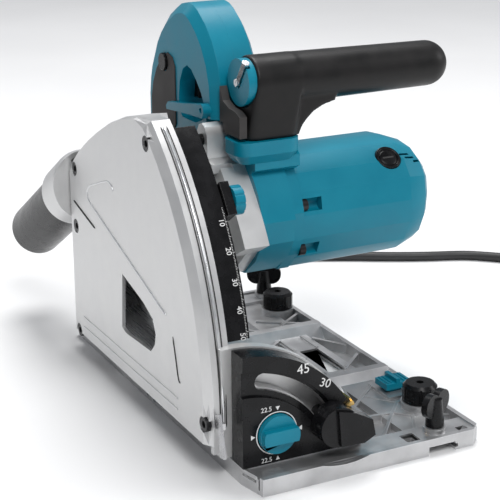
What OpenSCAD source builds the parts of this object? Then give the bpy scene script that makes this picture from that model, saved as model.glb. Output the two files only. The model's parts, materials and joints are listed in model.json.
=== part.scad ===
// Track plunge saw, mm, +Z up. Everything is laid out from the base plate's front cut corner:
// x runs right from the cut edge, y runs back from the front edge, z runs up from the sole.
// lay() moves that layout so that the part's own origin is the middle of the sole.

/* [Base plate] */
// Width of the base plate, across the cut
base_w = 150; // [146:1:156]
// Length of the base plate, along the cut
base_l = 275; // [270:1:290]
// Height of the base plate's rim
base_h = 10.5; // [10:0.1:11]
// Distance from the cut edge to the rail groove's near side
groove_x = 112.7; // [110:0.1:114]
// Width of the rail groove
groove_w = 18.4; // [18:0.1:19]

/* [Blade] */
// Diameter of the saw blade
blade_d = 165; // [160:1:165]
// Thickness of the blade's body
blade_t = 1.8; // [1.2:0.1:1.8]
// Number of teeth
blade_teeth = 48; // [24:8:56]
// Deepest cut below the sole
cut_depth = 56; // [50:1:56]
// Height of the resting blade's lowest tooth above the sole
blade_lift = 3.3; // [3:0.1:4]

/* [Plunge pivot] */
// Distance from the pivot to the blade's axis
swing_r = 101; // [100:0.5:102]
// Pivot's distance behind the base's front edge
pivot_y = 225; // [224:0.5:226]
// Pivot's height above the sole
pivot_z = 35; // [34:0.5:36]

/* [Blade case] */
// Distance from the cut edge out to the case's flat face
case_out = 15; // [14:0.5:15]
// Wall thickness of the case cover
cover_wall = 2.2; // [2:0.1:3]

/* [Motor and handles] */
// Distance between the spindle's and the armature's axes
gear_centres = 31; // [31:1:31]
// Right end of the motor housing
motor_end = 177; // [174:1:184]
// Right end of the front grip
grip_end = 188; // [184:1:192]
// Mid plane of the main handle
handle_x = 54; // [53:1:55]

/* [Cord] */
// Diameter of the cord
cord_d = 7.4; // [6.8:0.1:8]
// Turns in the coil that the cord's far part lies in
coil_turns = 8; // [6:1:9]

/* [Hidden] */
$fn = 64;
fit = 0.06;       // radial clearance of a running fit
gap = 0.3;        // clearance between pieces that pass each other

rest_z = blade_d / 2 + blade_lift;
rest_a = asin((rest_z - pivot_z) / swing_r);
low_a = asin((blade_d / 2 - cut_depth - pivot_z) / swing_r);
spin_y = pivot_y - swing_r * cos(rest_a);
spin_z = rest_z;
arm_y = spin_y - 1.7;
arm_z = spin_z + sqrt(gear_centres * gear_centres - 1.7 * 1.7);
bolt_a = 28;      // rest angle of the clamp bolts about the tilt axis
tilt = 48;        // bevel range

module lay() translate([-base_w / 2, -base_l / 2, 0]) children();
// A y-z profile, solid from x0 to x1
module side(x0, x1) translate([x0, 0, 0]) rotate([90, 0, 90]) linear_extrude(x1 - x0) children();
// An x-z profile, solid from y0 to y1
module face(y0, y1) translate([0, y1, 0]) rotate([90, 0, 0]) linear_extrude(y1 - y0) children();
module cyl_x(r, x0, x1, y, z, fn = 64) translate([x0, y, z]) rotate([0, 90, 0])
    cylinder(r = r, h = x1 - x0, $fn = fn);
module cyl_y(r, y0, y1, x, z, fn = 64) translate([x, y0, z]) rotate([-90, 0, 0])
    cylinder(r = r, h = y1 - y0, $fn = fn);
module cyl_z(r, z0, z1, x, y, fn = 64) translate([x, y, z0]) cylinder(r = r, h = z1 - z0, $fn = fn);
module block(x0, x1, y0, y1, z0, z1) translate([x0, y0, z0]) cube([x1 - x0, y1 - y0, z1 - z0]);
module tube_x(r0, r1, x0, x1, y, z) difference() {
    cyl_x(r1, x0, x1, y, z);
    cyl_x(r0, x0 - 1, x1 + 1, y, z);
}
module turned(x, y, a) translate([x, y, 0]) rotate(a) translate([-x, -y, 0]) children();
module wedge(r, a0, a1) polygon(concat([[0, 0]],
    [for (i = [0:6]) let (a = a0 + (a1 - a0) * i / 6) 1.3 * r * [cos(a), sin(a)]]));
module band(r0, r1, a0, a1) intersection() {
    difference() {
        circle(r = r1, $fn = 180);
        circle(r = r0, $fn = 180);
    }
    wedge(r1, a0, a1);
}
module kidney(r, hw, a0, a1) {
    band(r - hw + 0.04, r + hw - 0.04, a0, a1);
    for (a = [a0, a1]) rotate(a) translate([r, 0]) circle(r = hw, $fn = 48);
}
// Profiles about the pivot; angles run from straight ahead upwards
module about_pivot() translate([pivot_y, pivot_z]) mirror([1, 0]) children();
function on_arc(r, a) = [pivot_y - r * cos(a), pivot_z + r * sin(a)];

// ------------------------------------------------------------------ base plate and its fittings
open_x = [7.5, 62];
open_y = [46, 206];
fence_y = [12, base_l - 12];
fence_x = [124, 142];
cam_x = 138;
cam_y = [49, 234];
screw_at = [[14, 25.2], [60, 25.2], [12, 250.4], [50, 250.4]];
module base_outline() difference() {
    polygon([[4.2, 0], [base_w - 6, 0], [base_w, 6], [base_w, base_l - 6], [base_w - 6, base_l], [0, base_l],
        [0, 19]]);
    translate([open_x[0], open_y[0]]) square([open_x[1] - open_x[0], open_y[1] - open_y[0]]);
}
module rib(a, b, h = 8.4, t = 2, over = 0) {
    d = b - a;
    translate([a[0], a[1], 0]) rotate(atan2(d[1], d[0])) translate([-over, -t / 2, 0])
        cube([norm(d) + 2 * over, t, h]);
}
web = [[115, 78, 129, 60], [115, 78, 101, 65], [131, 91, 115, 78], [101, 65, 86, 50], [86, 50, 66, 62],
    [117, 47, 100, 49], [100, 49, 86, 50], [117, 47, 93, 19], [117, 47, 126, 38], [126, 38, 148, 30],
    [117, 47, 129, 60], [129, 60, 148, 60], [101, 65, 109, 92], [100, 49, 101, 65], [86, 50, 80, 30],
    [101, 65, 84, 93], [126, 38, 116, 20]];
module base_plate() color([0.7, 0.71, 0.72]) lay() difference() {
    union() {
        linear_extrude(2.6) base_outline();
        linear_extrude(base_h) difference() {
            square([base_w, base_l]);
            translate([3, 3]) square([base_w - 6, base_l - 6]);
            polygon([[-1, -1], [4.3, -1], [-1, 24]]);
            for (p = [[base_w, 0], [base_w, base_l]]) translate(p) rotate(45) square(8.5, center = true);
        }
        // rims round the opening and the left strip
        block(0, open_x[0], 40, 212, 0, base_h - 2);
        block(open_x[1], open_x[1] + 3, 40, 212, 0, base_h);
        for (y = [open_y[0] - 3, open_y[1]]) block(0, 66, y, y + 3, 0, 8.4);
        // zig-zag ribs, and the web between the front wall and the first bar
        ys = [110, 146, 182, 198, 246];
        for (i = [0, 1, 3]) {
            rib([64, ys[i]], [112, ys[i + 1]]);
            rib([112, ys[i]], [64, ys[i + 1]]);
        }
        for (r = [[114, 198, 148, 222], [114, 222, 148, 198], [126, 118, 148, 138], [134, 176, 148, 152],
            [112, 110, 112, 120], [112, 160, 112, 182], [129, 160, 129, 182]])
            rib([r[0], r[1]], [r[2], r[3]]);
        for (i = [0 : len(web) - 1])
            rib([web[i][0], web[i][1]], [web[i][2], web[i][3]], 7.4 + 0.13 * (i % 9), 1.9 + 0.06 * (i % 5),
                0.4 + 0.11 * (i % 8));
        for (y = [206, 246]) rib([8, y], [62, 452 - y]);
        // raised bars across, with sloping fronts
        for (y = [93, 181]) side(66, 148) polygon([[y, 2], [y + 8, 12.4], [y + 14, 12.4], [y + 18, 2]]);
        // cover over the rail groove
        block(groove_x - 3, groove_x + groove_w + 3, 1, base_l - 1, 0, 7);
        // fence channels, bosses and seats
        for (i = [0, 1]) {
            block(3, base_w - 1, fence_y[i] - 8, fence_y[i] + 8, 0, base_h - 1.2);
            cyl_z(7, 0, 12.4, fence_x[i], fence_y[i]);
        }
        for (y = cam_y) cyl_z(11.6, 0, 11.2, cam_x, y);
        block(1, 80, 17.5, 30, 0, base_h);
        block(1, 66, 244, 256, 0, base_h);
        block(126, 149, 64, 90, 0, 9);
    }
    block(groove_x, groove_x + groove_w, -1, base_l + 1, -1, 5.6);
    block(groove_x + groove_w - 1, groove_x + groove_w + 1.8, -1, base_l + 1, 1.8, 4.2);
    block(groove_x + 2.4, groove_x + groove_w - 2.4, 120, 160, -1, 20);
    for (x = [98, 138]) block(x, x + 8, 8, base_l - 8, -1, 0.9);
    for (y = fence_y) block(-1, base_w + 1, y - 6, y + 6, 6.2, 8.2);
    // room for the flange and the gear housing at full depth and tilt
    block(-1, 8, 104, 145, 5.4, 20);
    block(3.6, 8, 94, 155, -1, 20);
    // scallop in the front wall
    translate([57, -1, base_h + 52]) rotate([-90, 0, 0]) cylinder(r = 54.3, h = 5, $fn = 200);
    for (y = cam_y) cyl_z(4 + fit, 3, 20, cam_x, y);
    for (i = [0, 1]) cyl_z(3 + fit, 5.6, 20, fence_x[i], fence_y[i]);
    block(130.5, 149.9, 71.5, 82.5, 4, 20);
    block(101, 110, 3.6, 15, 3, 20);
    block(136.5, 143, 4.4, 9.4, 3, 20);
    for (p = screw_at) {
        cyl_z(2.55, -1, 20, p[0], p[1], 32);
        cyl_z(4.9, -1, 2.4, p[0], p[1], 32);
    }
}
module glide_strips() color([0.85, 0.85, 0.83]) lay()
    for (x = [98, 138]) block(x + 0.1, x + 7.9, 8.1, base_l - 8.1, 0, 0.86);
module sector_screws() color([0.2, 0.2, 0.21]) lay() for (p = screw_at) difference() {
    union() {
        cyl_z(2.5, 0.3, 18, p[0], p[1], 32);
        cyl_z(4.7, 0.3, 2.3, p[0], p[1], 32);
    }
    translate([p[0], p[1], 0]) cylinder(r = 1.7, h = 1.6, $fn = 6);
}
// Quarter disc about the tilt axis, standing on the base
module quarter(r, x0, z0, left = 0) {
    intersection() {
        circle(r = r, $fn = 180);
        translate([x0, z0]) square(r + 1);
    }
    if (left > 0) translate([x0, z0]) square([left, r - z0 - 3]);
}
module front_sector() color([0.66, 0.67, 0.68]) lay() difference() {
    face(21, 29.5) quarter(73.8, 2.6, base_h);
    face(20, 31) kidney(62, 4.6, bolt_a - 1, bolt_a + tilt + 1);
    face(26.1, 31) band(38.7, 44.3, 15, 100);
    for (p = [screw_at[0], screw_at[1]]) cyl_z(2.55, 5, 18.2, p[0], p[1], 32);
    cyl_y(5 + fit, 20, 25.8, 21, 28.5);
}
module front_sector_cover() color([0.06, 0.06, 0.065]) lay() difference() {
    face(16.5, 30) quarter(77, 0, base_h, 6);
    face(20.9, 31) quarter(74.2, 2.3, base_h - 1);
    face(15, 24) kidney(61.5, 4.9, bolt_a - 2, bolt_a + tilt + 1.5);
    face(15, 18.6) band(53, 68, bolt_a - 4, bolt_a + tilt + 14);
    cyl_y(5 + gap, 15, 24, 21, 28.5);
    cyl_y(12.4, 15, 17.2, 21, 28.5);
}
module stop_selector_knob() color([0.0, 0.47, 0.58]) lay() {
    cyl_y(11.5, 13.2, 16.9, 21, 28.5);
    cyl_y(5, 16.9, 25.5, 21, 28.5);
    intersection() {
        cyl_y(11.2, 9, 13.2, 21, 28.5);
        block(9, 33, 9, 13.2, 24.4, 32.6);
    }
}
module rear_sector() color([0.66, 0.67, 0.68]) lay() difference() {
    face(246.7, 254) quarter(60, 2.6, base_h);
    face(246, 255) kidney(46, 4.6, bolt_a + 1, bolt_a + 2 + tilt + 1);
    for (p = [screw_at[2], screw_at[3]]) cyl_z(2.55, 5, 18.2, p[0], p[1], 32);
}
module rear_sector_cover() color([0.06, 0.06, 0.065]) lay() difference() {
    face(246.5, 259.5) quarter(63, 0.2, base_h);
    face(245, 254.3) quarter(60.4, 2.3, base_h - 1);
    face(245, 262) kidney(46, 4.9, bolt_a + 1, bolt_a + 2 + tilt + 1.5);
}
module rail_cam(y) lay() difference() {
    union() {
        cyl_z(4, 5.8, 12, cam_x, y, 48);
        cyl_z(10.7, 11.5, 21, cam_x, y);
        translate([cam_x, y, 21]) cylinder(r1 = 10.7, r2 = 8.8, h = 2);
    }
    translate([cam_x, y, 20]) cylinder(r = 2.5, h = 4, $fn = 6);
    for (a = [0:30:330]) turned(cam_x, y, a) cyl_z(0.9, 13, 25, cam_x + 11, y, 16);
}
module front_rail_cam() color([0.05, 0.05, 0.055]) rail_cam(cam_y[0]);
module rear_rail_cam() color([0.05, 0.05, 0.055]) rail_cam(cam_y[1]);
module thumb_screw(x, y, a) lay() {
    translate([x, y, 0]) rotate(17) rotate_extrude($fn = 48)
        polygon([[0, 8.3], [3, 8.3], [3, 12.6], [5.5, 12.6], [5.5, 16], [3.9, 29.6], [0, 29.6]]);
    turned(x, y, a) for (s = [-1, 1]) intersection() {
        cyl_y(7.2, y - 2, y + 2, x + s * 5.4, 26.6, 48);
        block(x - 14, x + 14, y - 3, y + 3, 18, 34);
    }
}
module front_thumb_screw() color([0.06, 0.06, 0.065]) thumb_screw(fence_x[0], fence_y[0], 25);
module rear_thumb_screw() color([0.06, 0.06, 0.065]) thumb_screw(fence_x[1], fence_y[1], -30);
module rail_catch_lever() color([0.0, 0.47, 0.58]) lay() {
    block(131, 140, 72, 82, 6, 10.8);
    block(127.5, 146, 70, 84, 10.8, 14.8);
    block(134.5, 137.5, 70, 84, 14.7, 17.6);
    for (x = [129, 131.5, 140.5, 143]) block(x, x + 1, 71, 83, 14.7, 15.6);
}

// ------------------------------------------------------------------ blade case
module case_outline(r, out = 0) polygon(concat(
    [for (i = [0:16]) on_arc(r, -8 + (53 + 8) * i / 16)],
    [[124, 189 + out], [145, 184.5 + out], [165, 177.5 + out], [183, 169 + out], [200, 160 + out],
        [218, 149 + out], [232, 138 + out], [237 + out, 130 + out], [237 + out, 13]]));
case_screw_at = [[108, 178], [228, 135], [229, 96], [231, 22], [36.3, 33]];
module window() polygon([[150, 87], [153, 51], [147, 49], [108, 51], [102, 57], [100, 64], [104, 73], [118, 79]]);
module foot_cut() polygon([[0, -20], [0, 20], [46, 20], [46, 24], [219, 24], [219, 20], [260, 20], [260, -20]]);
module blade_case_cover() color([0.78, 0.79, 0.8]) lay() difference() {
    union() {
        side(-case_out, -case_out + 2) case_outline(189.5);
        side(-case_out + 2, -case_out + 4) case_outline(192.5, 1);
        side(-case_out + 4, -7) case_outline(195, 1.5);
        for (z = [28, 35]) side(-case_out - 0.5, -case_out) polygon([[70, z], [221, z - 1], [221, z], [70, z + 1]]);
    }
    side(-case_out + cover_wall, 0) difference() {
        case_outline(191.4, -2.2);
        for (p = case_screw_at) translate(p) circle(r = 4.4);
    }
    side(-case_out - 1, 0) window();
    // underside: the outer face ends higher than the inner edge, for the tilt
    side(-16, -11) translate([0, -10]) square([300, 31]);
    side(-12, -6) translate([0, -10]) square([300, 25.5]);
    side(-12.8, -6) translate([46, -10]) square([172, 40]);
    for (p = case_screw_at) {
        cyl_x(2.3, -17, 0, p[0], p[1], 32);
        cyl_x(4.7, -17, -11.6, p[0], p[1], 32);
    }
    intersection() {
        socket_axis() translate([0, 0, -60]) cylinder(r = 16, h = 90);
        block(-12.8, 0, 200, 280, 60, 200);
    }
}
module socket_axis() translate([-4.5, 262, 108.6]) rotate([-90 - 30.5, 0, 0]) children();
module blade_case() color([0.74, 0.75, 0.76]) lay() difference() {
    union() {
        difference() {
            union() {
                side(-7, 0.4) case_outline(195, 1.5);
                side(0.3, 6) case_outline(179.6, 1.5);
            }
            side(-8, -1.6 + 1.4) difference() {
                case_outline(191.4, -2.2);
                for (p = case_screw_at) translate(p) circle(r = 4.4);
            }
            side(-0.3, 3.5) case_outline(176.6, -2.2);
            side(-8, 7) translate([0, -10]) square([300, 23]);
            side(-8, 3.5) translate([44, -10]) square([180, 40]);
        }
        // pivot boss
        cyl_x(13, 3.5, 12, pivot_y, pivot_z);
        // socket that holds the nozzle
        difference() {
            socket_axis() {
                translate([0, 0, -27]) cylinder(r = 21.6, h = 27);
                translate([0, 0, -27]) sphere(r = 21.6);
            }
            block(-60, -7, 150, 238.6, 60, 200);
            side(-8, 3.5) case_outline(191.4, -2.2);
        }
        // front bracket with its arc tongue, and the rear bracket
        face(30.3, 36.5) intersection() {
            circle(r = 78, $fn = 180);
            translate([-6.5, 12.5]) square([90, 90]);
        }
        face(26.5, 31) kidney(41.5, 2.5, 20, 31);
        face(239, 246.2) intersection() {
            circle(r = 62, $fn = 180);
            translate([-3, 12.5]) square([90, 90]);
        }
        block(2.5, 6, 36, 50, 13, 60);
        block(-3, 6, 230, 246, 13, 60);
    }
    cyl_y(4 + fit, 25, 38, 62 * cos(bolt_a), 62 * sin(bolt_a), 48);
    cyl_y(4 + fit, 235, 250, 46 * cos(bolt_a + 2), 46 * sin(bolt_a + 2), 48);
    intersection() {
        socket_axis() translate([0, 0, -60]) cylinder(r = 16, h = 60);
        block(-12.8, 3.5, 200, 280, 60, 200);
    }
    // slot that the gear housing's nose travels along, open at its lower end
    side(2, 7) about_pivot() kidney(swing_r, 18.5, low_a - 0.4, rest_a + 0.4);
    cyl_x(6.02, -8, 20, pivot_y, pivot_z);
    socket_axis() {
        translate([0, 0, -20]) cylinder(r = 16, h = 60);
        translate([0, 0, -13]) cylinder(r = 18.4 + fit, h = 30);
    }
    for (p = case_screw_at) cyl_x(2.05, -8, 5, p[0], p[1], 32);
}
module case_screws() color([0.05, 0.05, 0.05]) lay() for (p = case_screw_at) difference() {
    union() {
        cyl_x(4.4, -14.6, -11.6, p[0], p[1], 32);
        cyl_x(2, -11.6, 0.2, p[0], p[1], 32);
    }
    translate([-15, p[0], p[1]]) rotate([0, 90, 0]) cylinder(r = 2.2, h = 2.2, $fn = 6);
}
stop_a = 37;
module depth_scale_guide() color([0.08, 0.08, 0.085]) lay() difference() {
    union() {
        side(0.45, 16) about_pivot() band(180.2, 191, 13, 52);
        side(6.05, 16) about_pivot() band(176.5, 191, 13, 52);
    }
    // slot that the stop slides along
    side(11, 17) about_pivot() kidney(186.5, 2.3, 15, 49);
}
module depth_stop_slider() color([0.12, 0.12, 0.125]) lay() {
    side(16.3, 22) about_pivot() band(180, 193, stop_a - 3, stop_a + 3);
    side(12, 16.4) about_pivot() kidney(186.5, 2, stop_a - 1.5, stop_a + 1.5);
    p = on_arc(187, stop_a);
    cyl_x(2.5, 21, 28, p[0], p[1], 32);
}
module depth_stop_knob() color([0.0, 0.47, 0.58]) lay() {
    p = on_arc(187, stop_a);
    difference() {
        cyl_x(8.6, 22.3, 28.5, p[0], p[1]);
        cyl_x(2.5 + fit, 21, 30, p[0], p[1], 32);
        for (a = [0:36:324]) cyl_x(0.8, 21, 30, p[0] + 8.9 * cos(a), p[1] + 8.9 * sin(a), 16);
    }
}
module dust_nozzle() color([0.05, 0.05, 0.055]) lay() socket_axis() difference() {
    union() {
        translate([0, 0, -12.8]) cylinder(r = 18.4, h = 22);
        translate([0, 0, 6]) cylinder(r = 19, h = 86.8);
        translate([0, 0, 0.3]) cylinder(r = 21, h = 3);
    }
    translate([0, 0, -14]) cylinder(r = 16.6, h = 120);
}
module cut_line_guide() color([0.8, 0.81, 0.82]) lay() {
    side(-10.8, -9) polygon([[18.5, 18], [23, 18], [29.6, 41], [24.5, 43]]);
    block(-10.8, -6.8, 24, 29.7, 33, 37);
}
module plunge_shaft() color([0.55, 0.55, 0.57]) lay() {
    cyl_x(6, -1, 44, pivot_y, pivot_z);
    cyl_x(9, 44, 47, pivot_y, pivot_z);
}
module plunge_spring() color([0.4, 0.4, 0.42]) lay() {
    turns = 5;
    wire = 1;
    sides = 8;
    steps = turns * 20;
    pts = [for (i = [0:steps]) for (j = [0:sides - 1])
        let (a = i * 18, b = j * 360 / sides, r = 9 + wire * cos(b))
            [31.5 + 10.5 * i / steps + wire * sin(b), pivot_y + r * cos(a), pivot_z + r * sin(a)]];
    polyhedron(pts, concat([[for (j = [0:sides - 1]) sides - 1 - j]],
        [for (i = [0:steps - 1]) for (j = [0:sides - 1])
            [i * sides + j, i * sides + (j + 1) % sides, (i + 1) * sides + (j + 1) % sides, (i + 1) * sides + j]],
        [[for (j = [0:sides - 1]) steps * sides + j]]), convexity = 10);
}
module bevel_bolts() color([0.5, 0.5, 0.52]) lay() {
    a = [62 * cos(bolt_a), 62 * sin(bolt_a)];
    b = [46 * cos(bolt_a + 2), 46 * sin(bolt_a + 2)];
    cyl_y(4, 9, 36.5, a[0], a[1], 48);
    translate([a[0], 36.5, a[1]]) rotate([-90, 0, 0]) cylinder(r = 7, h = 4.5, $fn = 6);
    cyl_y(4, 239, 268, b[0], b[1], 48);
    translate([b[0], 234.5, b[1]]) rotate([-90, 0, 0]) cylinder(r = 7, h = 4.5, $fn = 6);
}
module bevel_pointer() color([0.8, 0.6, 0.25]) lay() {
    face(16, 36.5) band(78.05, 79.3, 26.5, 30.5);
    face(14.6, 16.2) band(74.6, 79.3, 27.6, 29.4);
}
module clamp_lever(x, z, y0, y1, r) {
    cyl_y(r, y0, y1, x, z);
}
module front_clamp_lever() color([0.05, 0.05, 0.055]) lay() {
    x = 62 * cos(bolt_a);
    z = 62 * sin(bolt_a);
    difference() {
        union() {
            cyl_y(12, 4, 15.8, x, z);
            face(2, 13) polygon([[x - 2, z + 11], [x + 9, z + 8], [75, 31], [77, 21], [70, 17.5], [x, z - 11]]);
        }
        cyl_y(4 + fit, 8, 17, x, z, 48);
    }
}
module rear_clamp_lever() color([0.05, 0.05, 0.055]) lay() {
    x = 46 * cos(bolt_a + 2);
    z = 46 * sin(bolt_a + 2);
    difference() {
        union() {
            cyl_y(10, 260, 271, x, z);
            face(262, 272.5) polygon([[x - 4, z - 7], [x + 6, z + 9], [x + 30, z + 26], [x + 36, z + 20]]);
        }
        cyl_y(4 + fit, 259, 269, x, z, 48);
    }
}

// ------------------------------------------------------------------ gear housing and motor
module gear(teeth, x0, x1, y, z, a) side(x0, x1) translate([y, z]) rotate(a) {
    pr = teeth / 2;
    circle(r = pr - 1.25);
    for (i = [0:teeth - 1]) rotate(i * 360 / teeth) polygon([[pr - 1.6, -0.9], [pr - 0.1, -0.62],
        [pr + 0.8, -0.26], [pr + 0.8, 0.26], [pr - 0.1, 0.62], [pr - 1.6, 0.9]]);
}
mesh_a = atan2(arm_z - spin_z, arm_y - spin_y);
module gear_housing() color([0.78, 0.78, 0.78]) lay() difference() {
    union() {
        cyl_x(26, 8, 34, spin_y, spin_z);
        cyl_x(17, 3.8, 9, spin_y, spin_z);
        cyl_x(32.5, 10, 50, arm_y, arm_z);
        side(10, 34) hull() {
            translate([spin_y, spin_z]) circle(r = 26, $fn = 48);
            translate([arm_y, arm_z]) circle(r = 30, $fn = 48);
        }
        // motor flange
        side(42, 50) polygon([[90, 126], [96, 106], [112, 90], [150, 86], [174, 100], [174, 140], [160, 158],
            [112, 158]]);
        // front wall that rises to the hook
        side(34, 50) about_pivot() band(145, 166, 29, 47);
        side(30, 47) polygon([[120, 140], [121, 174], [124, 179], [128, 181], [132, 179.5], [135, 175], [136, 140]]);
        side(30, 47) polygon([[114, 153], [115, 158], [121, 161], [121, 150]]);
        side(30, 40) polygon([[118, 140], [118, 153], [136, 153], [136, 140]]);
        // arm to the pivot
        side(12.3, 26) polygon([[spin_y, spin_z + 25], [pivot_y + 4, pivot_z + 12], [pivot_y - 8, pivot_z - 10],
            [spin_y - 4, spin_z - 25]]);
        cyl_x(13, 12.3, 26, pivot_y, pivot_z);
    }
    cyl_x(24.4, 13, 25.5, spin_y, spin_z);
    cyl_x(10.5, 13, 34.1, arm_y, arm_z);
    cyl_x(28, 34, 51, arm_y, arm_z);
    cyl_x(14.02, 4.4, 14, spin_y, spin_z);
    cyl_x(11, 3, 5, spin_y, spin_z);
    cyl_x(10.02, 25, 32, spin_y, spin_z);
    cyl_x(11.02, 26, 35, arm_y, arm_z);
    cyl_x(6 + fit, 12, 27, pivot_y, pivot_z);
    cyl_x(3.5 + fit, 29, 50, 128, 171, 32);
}
module bearings() color([0.6, 0.6, 0.62]) lay() {
    tube_x(7.55, 14, 4.5, 12, spin_y, spin_z);
    tube_x(5.05, 10, 26, 32, spin_y, spin_z);
    tube_x(4.05, 11, 27, 34, arm_y, arm_z);
    tube_x(4.05, 10, 160.5, 167, arm_y, arm_z);
}
housing_screw_at = [[97.5, 131], [168, 146], [100, 102.5]];
module barrel() polygon([[97, 139], [105, 149], [118, 156], [134, 158.5], [150, 157], [162, 151], [170, 142],
    [174, 128], [174, 112], [170, 99], [162, 90.5], [151, 84], [138, 82], [124, 83.5], [111, 89], [102, 97],
    [96, 110], [94.5, 125]]);
module motor_housing() color([0.0, 0.47, 0.58]) lay() difference() {
    union() {
        side(79, 158) barrel();
        hull() {
            side(157, 158) barrel();
            side(motor_end - 6, motor_end - 5) offset(delta = -5) barrel();
            side(motor_end - 1, motor_end) offset(delta = -11) barrel();
        }
        side(50, 72) polygon([[88, 126], [94, 142], [108, 160], [160, 160], [170, 154], [176, 140], [176, 100],
            [168, 90], [150, 84], [112, 88.5], [98, 100], [90, 112]]);
        side(72, 80) polygon([[92, 128], [97, 141], [110, 158.5], [158, 158.5], [172, 142], [175, 118], [170, 98],
            [150, 83], [112, 87.5], [99, 100], [93, 112]]);
        side(50, 80) polygon([[98, 156], [98, 163], [114, 174], [120, 174], [124, 171], [124, 150], [110, 150]]);
        hull() for (x = [46.5, 71.5], y = [102.5, 110.9]) translate([x, y, 160.4]) {
            cylinder(r1 = 4.5, r2 = 8.5, h = 5.6);
            translate([0, 0, 5.5]) cylinder(r = 8.5, h = 8.1);
        }
    }
    cyl_x(29.5, 49, 160, arm_y, arm_z);
    cyl_x(10.02, 159, 167.5, arm_y, arm_z);
    for (i = [0:4]) translate([161 + i * 2.4, 110 + i * 1.2, 150 - i * 4.6]) rotate([49, 0, 10])
        cube([9, 1.6, 16], center = true);
    for (p = housing_screw_at) cyl_x(4.4, 80, 94, p[0], p[1], 32);
    for (s = [1, -1]) at_brush(s) translate([0, 0, -2]) cylinder(r = 8.6, h = 42, $fn = 48);
    cyl_y(11.3, 168, 180, 95, 127);
    block(50.6, 77.7, 99, 118, 166, 180);
}
// Frame with +z along a brush, s = 1 up and forwards
module at_brush(s) translate([148, arm_y, arm_z]) rotate([s > 0 ? 40.5 : 220.5, 0, 0])
    translate([0, 0, 29.4]) children();
module housing_screws() color([0.08, 0.08, 0.085]) lay() {
    for (p = housing_screw_at) difference() {
        cyl_x(3.8, 80, 84, p[0], p[1], 32);
        cyl_x(1.9, 82, 86, p[0], p[1], 6);
    }
}
module brush_holders() color([0.8, 0.62, 0.3]) lay() for (s = [1, -1]) at_brush(s) difference() {
    translate([-5, -4.2, -14]) cube([10, 8.4, 22.8]);
    translate([-3.4, -2.6, -15]) cube([6.8, 5.2, 22.8]);
}
module brush_caps() color([0.2, 0.19, 0.19]) lay() for (s = [1, -1]) at_brush(s) difference() {
    translate([0, 0, 9]) cylinder(r = 8.4, h = s > 0 ? 6.4 : 3.4, $fn = 48);
    translate([-6, -0.8, s > 0 ? 13.8 : 11]) cube([12, 1.6, 3]);
}
module field_stator() color([0.7, 0.42, 0.2]) lay() tube_x(19, 29.4, 70, 124, arm_y, arm_z);
module armature_shaft() color([0.5, 0.5, 0.52]) lay() {
    cyl_x(4, 13.5, 167.2, arm_y, arm_z);
    cyl_x(13, 138, 158, arm_y, arm_z);
    gear(16, 14, 24, arm_y, arm_z, mesh_a + 180 + 180 / 16);
}
module armature_core() color([0.35, 0.35, 0.37]) lay() tube_x(4, 18, 72, 122, arm_y, arm_z);
module fan() color([0.75, 0.75, 0.72]) lay() {
    tube_x(4, 9, 55, 65, arm_y, arm_z);
    tube_x(8.9, 28, 55, 56.4, arm_y, arm_z);
    for (i = [0:11]) translate([56.2, arm_y, arm_z]) rotate([i * 30, 0, 0]) translate([0, 8.6, -0.6])
        cube([8, 18.6, 1.2]);
}
module spindle() color([0.55, 0.55, 0.57]) lay() difference() {
    union() {
        cyl_x(7.5, -2.4, 14, spin_y, spin_z);
        cyl_x(5, 14, 32, spin_y, spin_z);
    }
    cyl_x(4, -3, 9, spin_y, spin_z, 32);
}
module drive_gear() color([0.5, 0.5, 0.5]) lay() difference() {
    gear(46, 14, 24, spin_y, spin_z, mesh_a);
    cyl_x(5, 10, 30, spin_y, spin_z);
}
module inner_flange() color([0.5, 0.5, 0.52]) lay() tube_x(7.5, 20, -0.6, 3, spin_y, spin_z);
module outer_flange() color([0.5, 0.5, 0.52]) lay() tube_x(4.1, 20, -6.4, -2.4, spin_y, spin_z);
module blade_bolt() color([0.25, 0.25, 0.26]) lay() {
    cyl_x(4, -7, 8.8, spin_y, spin_z, 32);
    difference() {
        translate([-11.5, spin_y, spin_z]) rotate([0, 90, 0]) cylinder(r = 7.4, h = 5.1, $fn = 6);
        translate([-12, spin_y, spin_z]) rotate([0, 90, 0]) cylinder(r = 2.9, h = 3, $fn = 6);
    }
}
module saw_blade() color([0.6, 0.61, 0.62]) lay() difference() {
    side(-2.4, -2.4 + blade_t) translate([spin_y, spin_z]) {
        circle(r = blade_d / 2 - 5, $fn = 180);
        for (i = [0:blade_teeth - 1]) rotate(i * 360 / blade_teeth)
            polygon([[blade_d / 2 - 7, -3], [blade_d / 2 - 0.6, -1.2], [blade_d / 2, 1.4], [blade_d / 2 - 5, 2.2],
                [blade_d / 2 - 7, 5]]);
    }
    cyl_x(7.5, -5, 5, spin_y, spin_z);
    for (i = [0:3]) side(-5, 5) translate([spin_y, spin_z]) rotate(i * 90 + 20)
        translate([blade_d / 2 - 19, -0.6]) square([22, 1.2]);
}

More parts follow.
